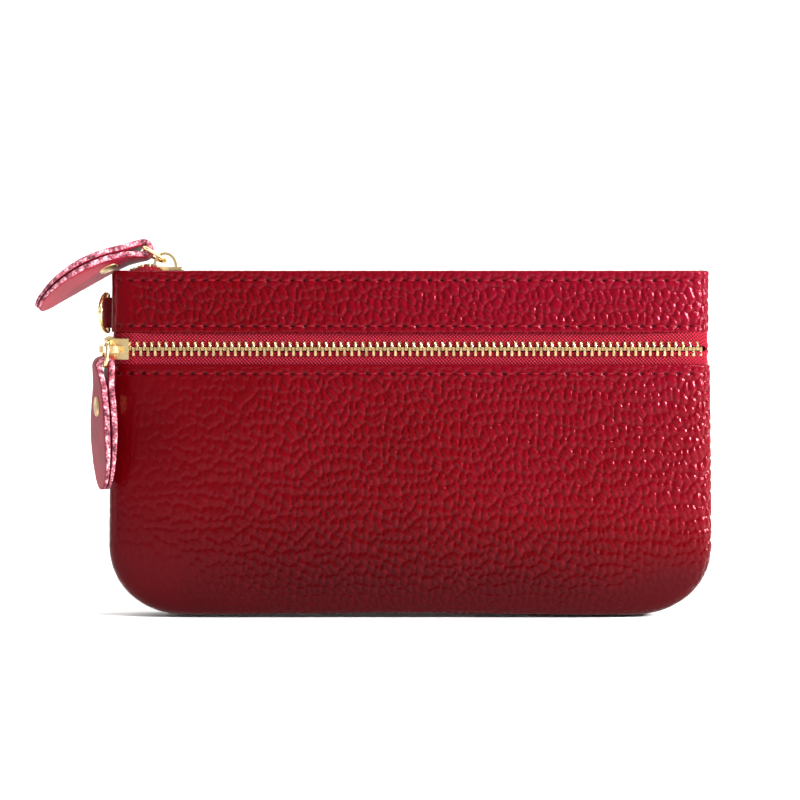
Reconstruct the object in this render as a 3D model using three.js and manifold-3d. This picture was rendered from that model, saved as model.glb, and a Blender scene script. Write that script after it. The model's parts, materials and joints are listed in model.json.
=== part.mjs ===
// Zippered pouch: a flat leather pouch with a zip along its mouth and a second zip across its front.
// Millimetres, +Z up. The pouch stands on its base, its front faces -Y, and +X runs to the right
// of someone looking at the front. The origin is on the flat base, below the middle of the mouth.
import * as THREE from "three";
import { mergeVertices } from "three/addons/utils/BufferGeometryUtils.js";
import { ParametricGeometry } from "three/addons/geometries/ParametricGeometry.js";
import Module from "manifold-3d";

const wasm = await Module();
wasm.setup();

const DEGREE = Math.PI / 180;
const GAP = 0.3; // between pieces that touch on the real pouch

// Leather body
const HEIGHT = 109.4;
const HALF_WIDTH = 95.3; // widest, at the top of the corner arcs
const MOUTH_HALF_WIDTH = 94;
const CORNER_RADIUS = 23;
const BASE_HALF_DEPTH = 7.5;
const BELLY_HALF_DEPTH = 10.8;
const MOUTH_HALF_DEPTH = 7.5;
const SECTION_POWER = 6; // exponent of the superellipse that a level section follows
const SECTION_POINTS = 32;
const CORNER_STEPS = 5;
const SIDE_STEPS = 6;
const LEATHER = 1.3; // thickness
const SEAM_Y = 1.5; // plane where the front and the back leather are sewn together

// Linings
const LINING = 0.5;
const LINING_INSET = LEATHER + GAP;
const BACK_LINING_TOP = 97.5;
const POCKET_LINING_TOP = 74;
const DIVIDER_HALF_WIDTH = 100; // before it is trimmed to the inside of the leather
const MAIN_DIVIDER = [[-0.95, 3], [-0.95, 88], [-4.4, 103]]; // y, z of the sheet's middle
const POCKET_DIVIDER = [[-1.75, 3], [-1.75, 86], [-5.4, 95]];

// Zips. A zip is drawn flat: x along the chain, y across it and z out of the pouch.
const TOOTH_PITCH = 2.28;
const TOOTH_WIDTH = 0.95;
const CHAIN_HALF_WIDTH = 2.33;
const CHAIN_THICKNESS = 2.2;
const CHAIN_GAP = 0.2; // from the middle of the chain to each row
const BEAD_OUTER = 0.9; // outer side of the bar that carries a row
const TOOTH_PLATE = 0.5; // thickness of a tooth in front of its tape
const TAPE_THICKNESS = 0.6;
const TAPE_INNER = 1.2; // from the middle of the chain to the tape's edge
const ZIP_LENGTH = 184; // between the side seams
const TEETH_RIGHT_END = 90.5;

// Top zip
const TOP_ZIP_Z = 108.2;
const TOP_TAPE_FLAT = 4.6; // where the tape turns down along the leather
const TOP_TAPE_DOWN = 5.6;
const TOP_TAPE_END_Z = 98;
const TOP_SLIDER_X = -75.8;
const STOP_X = -89;
const STOP_SIZE = [2.4, 0.8, 2.2];
const END_STOP_X = 91.6;
const END_STOP_SIZE = [1.6, 2.2, 2.6];

// Front zip
const FRONT_ZIP_Y = -6.6;
const FRONT_ZIP_Z = 84.8;
const BAND_BOTTOM_Z = 89.6; // the window in the front leather
const POCKET_TOP_Z = 80;
const FRONT_TAPE_WIDTH = 8.7;
const FRONT_SLIDER_X = -92.1;

// Slider
const PLATE_INNER = 1.35; // from the middle of the chain to the inside of a plate
const PLATE_OUTER = 2.35;
const SLIDER_NOSE_X = -3.6;
const SLIDER_TAIL_X = 4;
const SLIDER_SHOULDER_X = -1.2;
const NOSE_HALF_WIDTH = 4.1;
const TAIL_HALF_WIDTH = 3.25;
const FLANGE_THICKNESS = 0.6;
const TAPE_SLIT = 0.75; // half of the slit that the tape runs in
const WEDGE_HALF_WIDTH = 0.9;
const WEDGE_BACK_X = -0.9;
const BAIL_WIDTH = 2.1;
const BAIL_THICKNESS = 0.9;
const BAIL_HEIGHT = 4.6; // above the plate
const BAIL_NOSE_X = -5.4;
const BAIL_TAIL_X = 2.3;
const BAIL_FOOT = 0.6; // how far the bail sinks into the plate
const BAIL_OPENING_FOOT = 0.2;
const SHOULDER_HALF_LENGTH = 1;
const BAIL_STEPS = 10;

// Pull: wire link, folded leather tab and rivet
const WIRE = 0.65; // radius
const LINK_LENGTH = 7.7; // between the middles of its two end wires
const LINK_NECK = 2.6; // radius at the bail, to the middle of the wire
const LINK_CORNER = 1.4;
const LINK_FLARE = 20 * DEGREE;
const WIRE_SIDES = 8;
const LINK_STEPS = 26;
const TAB_LAYER = 1.6;
const TAB_SLIT = 0.3; // between the two layers
const TAB_LENGTH = 38.5; // from the link's wire to the tip
const TAB_HALF_WIDTH = 9.2;
const TAB_NECK_HALF_WIDTH = 2.6;
const TAB_WIDEST = 0.6; // share of the length
const FOLD_HOLE = 1;
const FOLD_TAPER = 6; // length over which the fold thins to two layers
const TAB_STEPS = 8;
const RIVET_PLACE = 12.6; // from the link's wire
const RIVET_RADIUS = 3.1;
const RIVET_DISC = 0.5;
const RIVET_BEVEL = 0.3;
const RIVET_SHANK = 1;
const RIVET_SIDES = 20;
const LEAF_SHOULDER = [6, 7.5]; // handles of the leaf outline: along the tab, across it
const LEAF_BACK = 0.55;
const LEAF_FRONT = 0.85;
const LEAF_TIP = 5;
const LEAF_STEPS = 7;

// How the two pulls lie
const TOP_LINK_UP = 28 * DEGREE;
const TOP_TAB_DROOP = 30 * DEGREE;
const TOP_TAB_BEND = 34 * DEGREE;
const TOP_PULL_ROLL = -16 * DEGREE;
const TOP_PULL_SPOT = [-77.4, 0, 112.3]; // middle of the link's wire in the bail
const FRONT_LINK_LEAN = 10 * DEGREE;
const FRONT_PULL_YAW = 16 * DEGREE;
const FRONT_PULL_SPOT = [-94.15, -13.2, 87.3];

// D-ring
const RING_WIRE = 0.78;
const RING_HALF_HEIGHT = 6.2; // to the middle of the wire
const RING_DEPTH = 8.6;
const RING_STEPS = 26;
const RING_BAR = [-95.7, SEAM_Y, 96];
const RING_SWING_FORWARD = 80 * DEGREE; // from straight out of the side
const LOOP_HEIGHT = 9.6;
const LOOP_LEATHER = 0.7;
const LOOP_ROOT_X = -93;
const LOOP_HOLE = RING_WIRE + GAP;

const COLOURS = {
  leather: { color: 0x9c0f22, roughness: 0.48, metalness: 0 },
  tab: { color: 0x7d2a33, roughness: 0.6, metalness: 0 },
  lining: { color: 0x5a1620, roughness: 0.9, metalness: 0 },
  tape: { color: 0x8f1020, roughness: 0.85, metalness: 0 },
  teeth: { color: 0xb08d4a, roughness: 0.35, metalness: 1 },
  gold: { color: 0xd8b24c, roughness: 0.18, metalness: 1 },
};

// ---- from three.js geometry to solids and back ----

function solidOf(geometry) {
  const bare = geometry.index ? geometry.toNonIndexed() : geometry.clone();
  bare.deleteAttribute("normal");
  bare.deleteAttribute("uv");
  const merged = mergeVertices(bare, 1e-4);
  const corners = merged.index.array;
  const kept = [];
  for (let i = 0; i < corners.length; i += 3) {
    const [a, b, c] = [corners[i], corners[i + 1], corners[i + 2]];
    if (a !== b && b !== c && c !== a) kept.push(a, b, c);
  }
  return new wasm.Manifold(
    new wasm.Mesh({
      numProp: 3,
      vertProperties: new Float32Array(merged.attributes.position.array),
      triVerts: new Uint32Array(kept),
    }),
  );
}

function geometryOf(solid) {
  const mesh = solid.getMesh();
  const geometry = new THREE.BufferGeometry();
  geometry.setAttribute("position", new THREE.BufferAttribute(mesh.vertProperties, 3));
  geometry.setIndex(new THREE.BufferAttribute(mesh.triVerts, 1));
  const faceted = geometry.toNonIndexed();
  faceted.computeVertexNormals();
  return faceted;
}

function block([x0, y0, z0], [x1, y1, z1]) {
  const box = new THREE.BoxGeometry(x1 - x0, y1 - y0, z1 - z0);
  return solidOf(box.translate((x0 + x1) / 2, (y0 + y1) / 2, (z0 + z1) / 2));
}

// A flat outline in x and y, thickened from z = low to z = high.
function slab(shape, low, high, curveSegments = 6) {
  const geometry = new THREE.ExtrudeGeometry(shape, {
    depth: high - low,
    bevelEnabled: false,
    curveSegments,
  });
  return geometry.translate(0, 0, low);
}

function shapeOf(points) {
  return new THREE.Shape(points.map(([x, y]) => new THREE.Vector2(x, y)));
}

// A side profile in x and z, thickened from y = -halfWidth to y = halfWidth.
function sideSlab(shape, halfWidth, curveSegments = 6) {
  const geometry = slab(shape, -halfWidth, halfWidth, curveSegments);
  return geometry.rotateX(Math.PI / 2);
}

function mesh(name, geometry, look) {
  const made = new THREE.Mesh(geometry, new THREE.MeshStandardMaterial(COLOURS[look]));
  made.name = name;
  return made;
}

// ---- the pouch's outer form ----

const signedPower = (value, power) => Math.sign(value) * Math.abs(value) ** power;

// Half-width, half-depth and height of the form at each level, set in by `inset` all round.
function levels(inset, top) {
  const found = [];
  const radius = CORNER_RADIUS - inset;
  for (let i = 0; i <= CORNER_STEPS; i++) {
    const turn = (i / CORNER_STEPS) * 90 * DEGREE;
    const rise = Math.sin(turn);
    found.push({
      width: HALF_WIDTH - CORNER_RADIUS + radius * rise,
      depth: BASE_HALF_DEPTH + (BELLY_HALF_DEPTH - BASE_HALF_DEPTH) * rise - inset,
      z: CORNER_RADIUS - radius * Math.cos(turn),
    });
  }
  for (let i = 1; i <= SIDE_STEPS; i++) {
    const share = i / SIDE_STEPS;
    const thin = Math.cos(share * 90 * DEGREE);
    found.push({
      width: HALF_WIDTH + (MOUTH_HALF_WIDTH - HALF_WIDTH) * share - inset,
      depth: MOUTH_HALF_DEPTH + (BELLY_HALF_DEPTH - MOUTH_HALF_DEPTH) * thin - inset,
      z: CORNER_RADIUS + (HEIGHT - CORNER_RADIUS) * share,
    });
  }
  const last = found[found.length - 1];
  if (top > HEIGHT) found.push({ ...last, z: top });
  return found;
}

// The closed form of stacked sections, set in from the outside of the leather.
function form(inset, top = HEIGHT) {
  const rings = levels(inset, top);
  const stacks = rings.length + 1;
  const place = (around, up, target) => {
    const row = Math.round(up * stacks);
    const ring = rings[Math.min(Math.max(row - 1, 0), rings.length - 1)];
    const open = row === 0 || row === stacks ? 0 : 1;
    const turn = Math.round(around * SECTION_POINTS) * ((2 * Math.PI) / SECTION_POINTS);
    const x = signedPower(Math.cos(turn), 2 / SECTION_POWER) * ring.width * open;
    const y = signedPower(Math.sin(turn), 2 / SECTION_POWER) * ring.depth * open;
    target.set(x, y, ring.z);
  };
  return solidOf(new ParametricGeometry(place, SECTION_POINTS, stacks));
}

const FAR = 200; // past the pouch in every direction
const inFrontOf = (y) => block([-FAR, -FAR, -FAR], [FAR, y, FAR]);
const behind = (y) => block([-FAR, y, -FAR], [FAR, FAR, FAR]);
const below = (z) => block([-FAR, -FAR, -FAR], [FAR, FAR, z]);
const above = (z) => block([-FAR, -FAR, z], [FAR, FAR, FAR]);

// ---- leather panels and linings ----

function leatherPanels() {
  const seamSlot = block(
    [-FAR, SEAM_Y - LOOP_HOLE - LOOP_LEATHER - GAP, RING_BAR[2] - LOOP_HEIGHT / 2 - GAP],
    [LOOP_ROOT_X + GAP, SEAM_Y + LOOP_HOLE + LOOP_LEATHER + GAP, RING_BAR[2] + LOOP_HEIGHT / 2 + GAP],
  );
  const shell = form(0).subtract(form(LEATHER, HEIGHT + 2)).subtract(seamSlot);
  const front = shell.intersect(inFrontOf(SEAM_Y - GAP / 2));
  return [
    mesh("back_panel", geometryOf(shell.intersect(behind(SEAM_Y + GAP / 2))), "leather"),
    mesh("front_upper_band", geometryOf(front.intersect(above(BAND_BOTTOM_Z))), "leather"),
    mesh("front_lower_panel", geometryOf(front.intersect(below(POCKET_TOP_Z))), "leather"),
  ];
}

// A hanging sheet: the y and z of its middle line, thickened and drawn out along x.
function divider(line, inside) {
  const half = LINING / 2;
  const frontSide = line.map(([y, z]) => [y - half, z]);
  const backSide = line.map(([y, z]) => [y + half, z]).reverse();
  const sheet = slab(shapeOf([...frontSide, ...backSide]), -DIVIDER_HALF_WIDTH, DIVIDER_HALF_WIDTH);
  sheet.applyMatrix4(new THREE.Matrix4().set(0, 0, 1, 0, 1, 0, 0, 0, 0, 1, 0, 0, 0, 0, 0, 1));
  return geometryOf(solidOf(sheet).intersect(inside));
}

function linings() {
  const inside = form(LINING_INSET + LINING + GAP, HEIGHT + 2);
  const bag = form(LINING_INSET, HEIGHT + 1).subtract(form(LINING_INSET + LINING, HEIGHT + 2));
  const back = bag.intersect(behind(SEAM_Y)).intersect(below(BACK_LINING_TOP));
  const front = bag.intersect(inFrontOf(SEAM_Y - GAP)).intersect(below(POCKET_LINING_TOP));
  return [
    mesh("main_lining_back", geometryOf(back), "lining"),
    mesh("main_lining_front", divider(MAIN_DIVIDER, inside), "lining"),
    mesh("pocket_lining_front", geometryOf(front), "lining"),
    mesh("pocket_lining_back", divider(POCKET_DIVIDER, inside), "lining"),
  ];
}

// ---- zips ----

// A row of teeth on its bar, on the +y side of the chain's middle.
function teethRow(left, right, offset) {
  const outline = [[left, CHAIN_GAP], [right, CHAIN_GAP], [right, BEAD_OUTER]];
  const count = Math.floor((right - left - TOOTH_WIDTH) / TOOTH_PITCH);
  for (let i = count; i >= 0; i--) {
    const x = left + offset + i * TOOTH_PITCH;
    outline.push([x + TOOTH_WIDTH, BEAD_OUTER], [x + TOOTH_WIDTH, CHAIN_HALF_WIDTH]);
    outline.push([x, CHAIN_HALF_WIDTH], [x, BEAD_OUTER]);
  }
  outline.push([left, BEAD_OUTER]);
  const high = CHAIN_THICKNESS / 2;
  const comb = solidOf(slab(shapeOf(outline), high - TOOTH_PLATE, high));
  return comb.add(block([left, CHAIN_GAP, -high], [right, BEAD_OUTER, high]));
}

const flipAcross = new THREE.Matrix4().makeScale(1, -1, 1);

// The same piece on the other side of the chain, faces still pointing out.
function mirrored(geometry) {
  const copy = geometry.clone().applyMatrix4(flipAcross);
  const corners = copy.attributes.position;
  for (let i = 0; i < corners.count; i += 3) {
    const [x, y, z] = [corners.getX(i), corners.getY(i), corners.getZ(i)];
    corners.setXYZ(i, corners.getX(i + 1), corners.getY(i + 1), corners.getZ(i + 1));
    corners.setXYZ(i + 1, x, y, z);
  }
  copy.computeVertexNormals();
  return copy;
}

function turnedTape() {
  const half = TAPE_THICKNESS / 2;
  const outline = [
    [TAPE_INNER, -half],
    [TOP_TAPE_FLAT, -half],
    [TOP_TAPE_DOWN - TAPE_THICKNESS, -half - TAPE_THICKNESS],
    [TOP_TAPE_DOWN - TAPE_THICKNESS, TOP_TAPE_END_Z - TOP_ZIP_Z],
    [TOP_TAPE_DOWN, TOP_TAPE_END_Z - TOP_ZIP_Z],
    [TOP_TAPE_DOWN, -half],
    [TOP_TAPE_FLAT + half, half],
    [TAPE_INNER, half],
  ];
  const tape = slab(shapeOf(outline), -ZIP_LENGTH / 2, ZIP_LENGTH / 2);
  return tape.applyMatrix4(new THREE.Matrix4().set(0, 0, 1, 0, 1, 0, 0, 0, 0, 1, 0, 0, 0, 0, 0, 1));
}

// A piece drawn in its zip's frame, cut back to the inside of the leather.
function trimmedInside(geometry, zip) {
  zip.updateMatrix();
  const placed = solidOf(geometry.clone().applyMatrix4(zip.matrix));
  const trimmed = geometryOf(placed.intersect(form(LINING_INSET, HEIGHT + 2)));
  return trimmed.applyMatrix4(zip.matrix.clone().invert());
}

function topZip() {
  const zip = new THREE.Group();
  zip.position.z = TOP_ZIP_Z;
  const left = TOP_SLIDER_X + WEDGE_BACK_X + GAP;
  const tape = trimmedInside(turnedTape(), zip);
  const stop = new THREE.BoxGeometry(...STOP_SIZE).toNonIndexed();
  stop.translate(STOP_X, CHAIN_GAP + STOP_SIZE[1] / 2, 0);
  zip.add(
    mesh("top_zip_tape_back", tape, "tape"),
    mesh("top_zip_tape_front", mirrored(tape), "tape"),
    mesh("top_zip_teeth_back", geometryOf(teethRow(left, TEETH_RIGHT_END, 0)), "teeth"),
    mesh(
      "top_zip_teeth_front",
      mirrored(geometryOf(teethRow(left, TEETH_RIGHT_END, TOOTH_PITCH / 2))),
      "teeth",
    ),
    mesh("top_zip_stop_back", stop, "gold"),
    mesh("top_zip_stop_front", mirrored(stop), "gold"),
    mesh("top_zip_end_stop", new THREE.BoxGeometry(...END_STOP_SIZE).translate(END_STOP_X, 0, 0), "gold"),
  );
  return zip;
}

function frontZip() {
  const zip = new THREE.Group();
  zip.position.set(0, FRONT_ZIP_Y, FRONT_ZIP_Z);
  zip.rotation.x = Math.PI / 2;
  const left = FRONT_SLIDER_X + WEDGE_BACK_X + GAP;
  const strip = new THREE.BoxGeometry(ZIP_LENGTH, FRONT_TAPE_WIDTH, TAPE_THICKNESS);
  const upper = strip.clone().translate(0, TAPE_INNER + FRONT_TAPE_WIDTH / 2, 0);
  const lower = strip.clone().translate(0, -TAPE_INNER - FRONT_TAPE_WIDTH / 2, 0);
  zip.add(
    mesh("front_zip_tape_upper", trimmedInside(upper, zip), "tape"),
    mesh("front_zip_tape_lower", trimmedInside(lower, zip), "tape"),
    mesh("front_zip_teeth_upper", geometryOf(teethRow(left, TEETH_RIGHT_END, 0)), "teeth"),
    mesh(
      "front_zip_teeth_lower",
      mirrored(geometryOf(teethRow(left, TEETH_RIGHT_END, TOOTH_PITCH / 2))),
      "teeth",
    ),
  );
  return zip;
}

// ---- slider: two plates joined by a wedge, flanges along the sides and a bail on top ----

function shieldOutline(inset) {
  const nose = NOSE_HALF_WIDTH - inset;
  const tail = TAIL_HALF_WIDTH - inset;
  const reach = inset > 0 ? GAP : 0; // the channel runs out through both ends
  return shapeOf([
    [SLIDER_NOSE_X - reach, nose - (inset > 0 ? 0 : FLANGE_THICKNESS)],
    [SLIDER_NOSE_X - reach, -nose + (inset > 0 ? 0 : FLANGE_THICKNESS)],
    [SLIDER_SHOULDER_X - SHOULDER_HALF_LENGTH, -nose],
    [SLIDER_SHOULDER_X + SHOULDER_HALF_LENGTH, -tail],
    [SLIDER_TAIL_X + reach, -tail],
    [SLIDER_TAIL_X + reach, tail],
    [SLIDER_SHOULDER_X + SHOULDER_HALF_LENGTH, tail],
    [SLIDER_SHOULDER_X - SHOULDER_HALF_LENGTH, nose],
  ]);
}

function archOutline(inset) {
  const middle = (BAIL_NOSE_X + BAIL_TAIL_X) / 2;
  const halfLength = (BAIL_TAIL_X - BAIL_NOSE_X) / 2 - inset;
  const arch = new THREE.Shape();
  arch.absellipse(middle, PLATE_OUTER, halfLength, BAIL_HEIGHT - inset, 0, Math.PI, false, 0);
  const foot = inset > 0 ? BAIL_OPENING_FOOT : BAIL_FOOT;
  arch.lineTo(middle - halfLength, PLATE_OUTER - foot);
  arch.lineTo(middle + halfLength, PLATE_OUTER - foot);
  return arch;
}

function sliderGeometry() {
  const outside = solidOf(slab(shieldOutline(0), -PLATE_OUTER, PLATE_OUTER));
  const channel = solidOf(slab(shieldOutline(FLANGE_THICKNESS), -PLATE_INNER, PLATE_INNER));
  const slit = block([-FAR, -FAR, -TAPE_SLIT], [FAR, FAR, TAPE_SLIT]);
  const wedge = block(
    [SLIDER_NOSE_X, -WEDGE_HALF_WIDTH, -PLATE_OUTER + GAP],
    [WEDGE_BACK_X, WEDGE_HALF_WIDTH, PLATE_OUTER - GAP],
  );
  const arch = solidOf(sideSlab(archOutline(0), BAIL_WIDTH / 2, BAIL_STEPS));
  const opening = solidOf(sideSlab(archOutline(BAIL_THICKNESS), BAIL_WIDTH, BAIL_STEPS));
  const noseFoot = block(
    [BAIL_NOSE_X, -BAIL_WIDTH / 2, PLATE_INNER + GAP],
    [SLIDER_NOSE_X + GAP, BAIL_WIDTH / 2, PLATE_OUTER],
  );
  const bail = arch.subtract(opening).add(noseFoot);
  return geometryOf(outside.subtract(channel).subtract(slit).add(wedge).add(bail));
}

// ---- pull ----

// A wire bent round a closed path in the xy plane. The path runs anticlockwise.
function wireLoop(path, radius, steps) {
  const ring = new THREE.TorusGeometry(1, radius, WIRE_SIDES, steps);
  const spots = ring.attributes.position;
  for (let side = 0; side <= WIRE_SIDES; side++) {
    const round = ((side % WIRE_SIDES) / WIRE_SIDES) * 2 * Math.PI;
    for (let step = 0; step <= steps; step++) {
      const along = (step % steps) / steps;
      const centre = path.getPointAt(along);
      const heading = path.getTangentAt(along);
      const out = radius * Math.cos(round);
      const x = centre.x + heading.y * out;
      const y = centre.y - heading.x * out;
      spots.setXYZ(side * (steps + 1) + step, x, y, radius * Math.sin(round));
    }
  }
  return geometryOf(solidOf(ring));
}

// The link is narrow at the bail, x = 0, and wide where the leather folds over it.
function linkGeometry() {
  const turn = 90 * DEGREE - LINK_FLARE;
  const neckX = -LINK_NECK;
  const cornerX = -LINK_LENGTH + LINK_CORNER;
  const reach = Math.cos(turn) * (neckX - cornerX) + LINK_NECK - LINK_CORNER;
  const cornerY = reach / Math.sin(turn);
  const path = new THREE.Path();
  path.absarc(neckX, 0, LINK_NECK, -turn, turn, false);
  path.absarc(cornerX, cornerY, LINK_CORNER, turn, Math.PI, false);
  path.absarc(cornerX, -cornerY, LINK_CORNER, Math.PI, 2 * Math.PI - turn, false);
  path.closePath();
  return wireLoop(path, WIRE, LINK_STEPS);
}

// Middle line of the folded tab, from the link's wire along -x, bent by `bend` over its length.
function tabLine(bend) {
  const line = [{ x: 0, z: 0, turn: bend / 2 }];
  const step = TAB_LENGTH / TAB_STEPS;
  for (let i = 1; i <= TAB_STEPS; i++) {
    const last = line[i - 1];
    const turn = bend * (0.5 - i / TAB_STEPS);
    const middle = (last.turn + turn) / 2;
    line.push({ x: last.x - step * Math.cos(middle), z: last.z + step * Math.sin(middle), turn });
  }
  return line;
}

// Side profile of a strip folded over the wire: two layers with a slit between, open at the tip.
function foldedProfile(bend) {
  const line = tabLine(bend);
  const layers = TAB_LAYER + TAB_SLIT / 2;
  const fold = FOLD_HOLE + TAB_LAYER;
  const offsetPoint = ({ x, z, turn }, out) => [x + out * Math.sin(turn), z + out * Math.cos(turn)];
  const outerAt = (i) => {
    const taper = Math.max(0, 1 - (i * TAB_LENGTH) / TAB_STEPS / FOLD_TAPER);
    return layers + (fold - layers) * taper;
  };
  const top = line.map((spot, i) => offsetPoint(spot, outerAt(i))).slice(1).reverse();
  const bottom = line.map((spot, i) => offsetPoint(spot, -outerAt(i))).slice(1);
  const round = [];
  for (let i = 0; i <= 6; i++) {
    const turn = (90 - i * 30) * DEGREE;
    round.push([fold * Math.cos(turn), fold * Math.sin(turn)]);
  }
  const slitBottom = line.map((spot) => offsetPoint(spot, -TAB_SLIT / 2)).slice(1).reverse();
  const slitTop = line.map((spot) => offsetPoint(spot, TAB_SLIT / 2)).slice(1);
  const hole = [];
  for (let i = 0; i <= 10; i++) {
    const turn = (-170 + i * 34) * DEGREE;
    hole.push([FOLD_HOLE * Math.cos(turn), FOLD_HOLE * Math.sin(turn)]);
  }
  return shapeOf([...top, ...round, ...bottom, ...slitBottom, ...hole, ...slitTop]);
}

// Leaf outline in plan: narrow at the wire, widest past the middle, round at the tip.
function leafOutline(length) {
  const widest = -length * TAB_WIDEST;
  const start = FOLD_HOLE + TAB_LAYER + GAP;
  const leaf = new THREE.Shape();
  leaf.moveTo(start, -TAB_NECK_HALF_WIDTH);
  leaf.lineTo(start, TAB_NECK_HALF_WIDTH);
  leaf.lineTo(-WIRE, TAB_NECK_HALF_WIDTH);
  const [along, across] = LEAF_SHOULDER;
  leaf.bezierCurveTo(-along, across, widest * LEAF_BACK, TAB_HALF_WIDTH, widest, TAB_HALF_WIDTH);
  leaf.bezierCurveTo(-length * LEAF_FRONT, TAB_HALF_WIDTH, -length, LEAF_TIP, -length, 0);
  leaf.bezierCurveTo(-length, -LEAF_TIP, -length * LEAF_FRONT, -TAB_HALF_WIDTH, widest, -TAB_HALF_WIDTH);
  leaf.bezierCurveTo(widest * LEAF_BACK, -TAB_HALF_WIDTH, -along, -across, -WIRE, -TAB_NECK_HALF_WIDTH);
  return leaf;
}

function tabGeometry(bend) {
  const strip = solidOf(sideSlab(foldedProfile(bend), TAB_HALF_WIDTH + 1));
  const tip = tabLine(bend)[TAB_STEPS];
  const leaf = solidOf(slab(leafOutline(-tip.x), -TAB_LENGTH / 2, TAB_LENGTH / 2, LEAF_STEPS));
  const hole = new THREE.CylinderGeometry(RIVET_SHANK + GAP, RIVET_SHANK + GAP, TAB_LENGTH, 12);
  const spot = rivetSpot(bend);
  hole.rotateX(Math.PI / 2).rotateY(spot.turn).translate(spot.x, 0, spot.z);
  return geometryOf(strip.intersect(leaf).subtract(solidOf(hole)));
}

// Where the rivet goes through the middle line, and how far the tab has turned there.
function rivetSpot(bend) {
  const line = tabLine(bend);
  const step = TAB_LENGTH / TAB_STEPS;
  const index = Math.floor(RIVET_PLACE / step);
  const share = RIVET_PLACE / step - index;
  const [a, b] = [line[index], line[index + 1]];
  const blend = (key) => a[key] + (b[key] - a[key]) * share;
  return { x: blend("x"), z: blend("z"), turn: blend("turn") };
}

function rivetPieces(prefix, bend) {
  const face = TAB_LAYER + TAB_SLIT / 2 + GAP;
  const profile = (points) => {
    const outline = points.map(([r, z]) => new THREE.Vector2(r, z));
    return new THREE.LatheGeometry(outline, RIVET_SIDES).rotateX(Math.PI / 2);
  };
  const top = face + RIVET_DISC;
  const cap = profile([[0, face], [RIVET_RADIUS, face], [RIVET_RADIUS - RIVET_BEVEL, top], [0, top]]);
  const post = profile([
    [0, -top],
    [RIVET_RADIUS - RIVET_BEVEL, -top],
    [RIVET_RADIUS, -face],
    [RIVET_SHANK, -face],
    [RIVET_SHANK, face - GAP],
    [0, face - GAP],
  ]);
  const rivet = new THREE.Group();
  const spot = rivetSpot(bend);
  rivet.position.set(spot.x, 0, spot.z);
  rivet.rotation.y = spot.turn;
  rivet.add(mesh(prefix + "_rivet_cap", geometryOf(solidOf(cap)), "gold"));
  rivet.add(mesh(prefix + "_rivet_post", geometryOf(solidOf(post)), "gold"));
  return rivet;
}

// A pull hangs along -x from the middle of the link's wire in the bail.
function pull(prefix, linkTurn, tabTurn, bend) {
  const group = new THREE.Group();
  const link = mesh(prefix + "_pull_link", linkGeometry(), "gold");
  link.rotation.y = linkTurn;
  const tab = new THREE.Group();
  tab.position.set(-LINK_LENGTH * Math.cos(linkTurn), 0, LINK_LENGTH * Math.sin(linkTurn));
  tab.rotation.y = tabTurn;
  tab.add(mesh(prefix + "_pull_tab", tabGeometry(bend), "tab"), rivetPieces(prefix, bend));
  group.add(link, tab);
  return group;
}

function topSlider() {
  const slider = new THREE.Group();
  const body = mesh("top_slider", sliderGeometry(), "gold");
  body.position.set(TOP_SLIDER_X, 0, TOP_ZIP_Z);
  const pulled = pull("top", TOP_LINK_UP, -TOP_TAB_DROOP, TOP_TAB_BEND);
  pulled.position.set(...TOP_PULL_SPOT);
  pulled.rotation.x = TOP_PULL_ROLL;
  slider.add(body, pulled);
  return slider;
}

function frontSlider() {
  const slider = new THREE.Group();
  const body = mesh("front_slider", sliderGeometry(), "gold");
  body.position.set(FRONT_SLIDER_X, FRONT_ZIP_Y, FRONT_ZIP_Z);
  body.rotation.x = Math.PI / 2;
  const pulled = pull("front", FRONT_LINK_LEAN, 0, 0);
  const across = new THREE.Vector3(-Math.sin(FRONT_PULL_YAW), Math.cos(FRONT_PULL_YAW), 0);
  const up = new THREE.Vector3(0, 0, 1);
  const out = new THREE.Vector3().crossVectors(up, across);
  pulled.position.set(...FRONT_PULL_SPOT);
  pulled.setRotationFromMatrix(new THREE.Matrix4().makeBasis(up, across, out));
  slider.add(body, pulled);
  return slider;
}

// ---- D-ring in its leather loop ----

function dRing() {
  const path = new THREE.Path();
  path.moveTo(0, RING_HALF_HEIGHT);
  path.lineTo(0, -RING_HALF_HEIGHT);
  path.absellipse(0, 0, RING_DEPTH, RING_HALF_HEIGHT, -90 * DEGREE, 90 * DEGREE, false, 0);
  const ring = mesh("d_ring", wireLoop(path, RING_WIRE, RING_STEPS), "gold");
  const out = new THREE.Vector3(-Math.cos(RING_SWING_FORWARD), -Math.sin(RING_SWING_FORWARD), 0);
  const up = new THREE.Vector3(0, 0, 1);
  ring.position.set(...RING_BAR);
  ring.setRotationFromMatrix(new THREE.Matrix4().makeBasis(out, up, out.clone().cross(up)));
  return ring;
}

function dRingLoop() {
  const outer = LOOP_HOLE + LOOP_LEATHER;
  const root = LOOP_ROOT_X - RING_BAR[0];
  const loop = new THREE.Shape();
  loop.moveTo(root, -outer);
  loop.lineTo(root, outer);
  loop.absarc(0, 0, outer, 90 * DEGREE, 270 * DEGREE, false);
  const hole = new THREE.Path();
  hole.absarc(0, 0, LOOP_HOLE, 0, 360 * DEGREE, true);
  loop.holes.push(hole);
  const strap = slab(loop, -LOOP_HEIGHT / 2, LOOP_HEIGHT / 2).translate(...RING_BAR);
  return mesh("d_ring_loop", geometryOf(solidOf(strap)), "leather");
}

const pouch = new THREE.Group();
pouch.add(...leatherPanels(), ...linings(), topZip(), frontZip());
pouch.add(topSlider(), frontSlider(), dRing(), dRingLoop());

export default pouch;
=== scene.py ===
# Zippered pouch: the visible leather, zips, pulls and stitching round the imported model.
# Metres, +Z up, front faces -Y. The shapes are written in millimetres and turned by MM; the
# materials, the stage, the lights and the camera are in metres.
import json
import math

import bmesh
import bpy
import numpy as np
from mathutils import Matrix, Vector


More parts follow.
